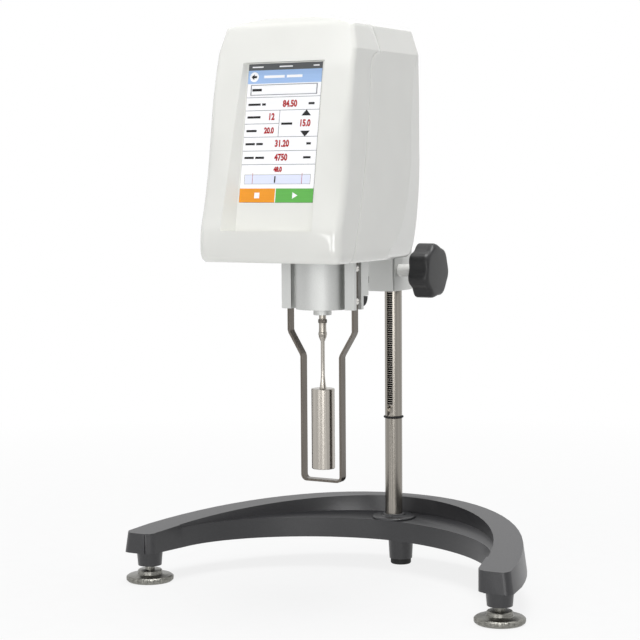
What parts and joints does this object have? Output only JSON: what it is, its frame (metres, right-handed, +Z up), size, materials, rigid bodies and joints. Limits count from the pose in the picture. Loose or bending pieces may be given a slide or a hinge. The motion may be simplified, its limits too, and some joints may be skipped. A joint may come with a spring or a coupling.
{
  "type": "rotational viscometer",
  "caption": "Bench rotational viscometer: crescent stand with a rack column, a touch-screen measuring head lifted by a pinion knob, and a sprung spindle in a guard leg.",
  "frame": {"origin": "on the spindle's axis at the height of the table the feet stand on", "axes": "+Z up along the spindle axis, -Y to the front where the screen faces, +X to the lift knob"},
  "size_m": [0.3606, 0.261, 0.4656],
  "materials": {
    "cast_base": "fine charcoal powder coat",
    "stainless": "fine brushed stainless steel",
    "rack_steel": "oiled dark cut steel",
    "screw_steel": "bright nickel-plated screws",
    "dark_screw": "blackened steel screws",
    "foot_metal": "turned grey metal with a knurled rim",
    "foot_rubber": "soft black rubber",
    "black_plastic": "fine matte black moulding",
    "block_aluminium": "satin bead-blasted aluminium",
    "inner_metal": "plain sheet metal",
    "bushing_white": "white acetal",
    "gear_brass": "cut brass",
    "knob_soft": "soft-touch dark grey moulding",
    "cover_front": "warm white gloss moulding",
    "cover_rear": "warm white gloss moulding",
    "screen_glass": "clear touch glass",
    "display_body": "dark display frame",
    "board_green": "green circuit board",
    "motor_black": "black lacquered motor body",
    "disc_metal": "thin etched discs and ground shaft",
    "shaft_steel": "ground steel",
    "spring_bronze": "thin bronze strip",
    "jewel": "ruby-coloured bearing ring",
    "level_vial": "green vial of the bubble level",
    "socket_metal": "plated socket shells"
  },
  "bodies": {
    "stand": {"base_casting": "cast_base", "column_flange": "cast_base", "column": "stainless", "rack": "rack_steel", "stop_ring": "foot_rubber", "column_cap": "black_plastic", "column_bolt": "screw_steel", "rear_foot_pad": "foot_rubber"},
    "left_levelling_foot": {"left_foot": "foot_metal"},
    "right_levelling_foot": {"right_foot": "foot_metal"},
    "knob": {"pinion_shaft": "stainless", "pinion": "gear_brass", "lift_knob": "knob_soft", "knob_cap": "knob_soft"},
    "rotor": {"motor_shaft": "shaft_steel", "upper_disc": "disc_metal", "hair_spring": "spring_bronze"},
    "spindle_unit": {"pivot_shaft": "stainless", "lower_disc": "disc_metal", "spindle_coupling": "stainless", "spindle": "stainless"},
    "rocker": {"power_rocker": "black_plastic"},
    "head": {"lift_block": "block_aluminium", "block_front_plate": "block_aluminium", "head_arm": "block_aluminium", "friction_screw": "dark_screw", "arm_screws": "dark_screw", "knob_bushing": "bushing_white", "front_cover": "cover_front", "rear_cover": "cover_rear", "touch_glass": "screen_glass", "display_module": "display_body", "main_board": "board_green", "board_posts": "gear_brass", "chassis": "inner_metal", "spindle_housing": "block_aluminium", "housing_screws": "screw_steel", "lug_bumper": "foot_rubber", "bearing_boss": "block_aluminium", "guard_leg": "stainless", "guard_screws": "screw_steel", "motor_plate": "inner_metal", "motor_posts": "gear_brass", "motor": "motor_black", "jewel_bearing": "jewel", "disc_sensor": "black_plastic", "sensor_bracket": "inner_metal", "bubble_level": "level_vial", "switch_frame": "black_plastic", "dc_jack": "black_plastic", "usb_port": "socket_metal", "probe_socket": "socket_metal", "cover_screws": "screw_steel"}
  },
  "joints": [
    {"name": "lift", "type": "slide", "parent": "stand", "child": "head", "axis": [0, 0, 1], "range_m": [-0.09, 0.05]},
    {"name": "knob_spin", "type": "hinge", "parent": "head", "child": "knob", "pos_m": [0, 0.1189, 0.2607], "axis": [1, 0, 0], "range_deg": [-480, 862]},
    {"name": "motor_spin", "type": "hinge", "parent": "head", "child": "rotor", "pos_m": [0, 0, 0.3], "axis": [0, 0, 1], "continuous": true},
    {"name": "spindle_spin", "type": "hinge", "parent": "rotor", "child": "spindle_unit", "pos_m": [0, 0, 0.29], "axis": [0, 0, 1], "range_deg": [-5, 88], "stiffness_Nm_per_rad": 0.000045},
    {"name": "left_foot_height", "type": "slide", "parent": "stand", "child": "left_levelling_foot", "axis": [0, 0, 1], "range_m": [-0.01, 0.0035]},
    {"name": "right_foot_height", "type": "slide", "parent": "stand", "child": "right_levelling_foot", "axis": [0, 0, 1], "range_m": [-0.01, 0.0035]},
    {"name": "power_switch", "type": "hinge", "parent": "head", "child": "rocker", "pos_m": [0.042, 0.0596, 0.352], "axis": [1, 0, 0], "range_deg": [-20, 0]}
  ],
  "couplings": [
    {"joint": "knob_spin", "follows": "lift", "rad_per_m": -166.67}
  ]
}
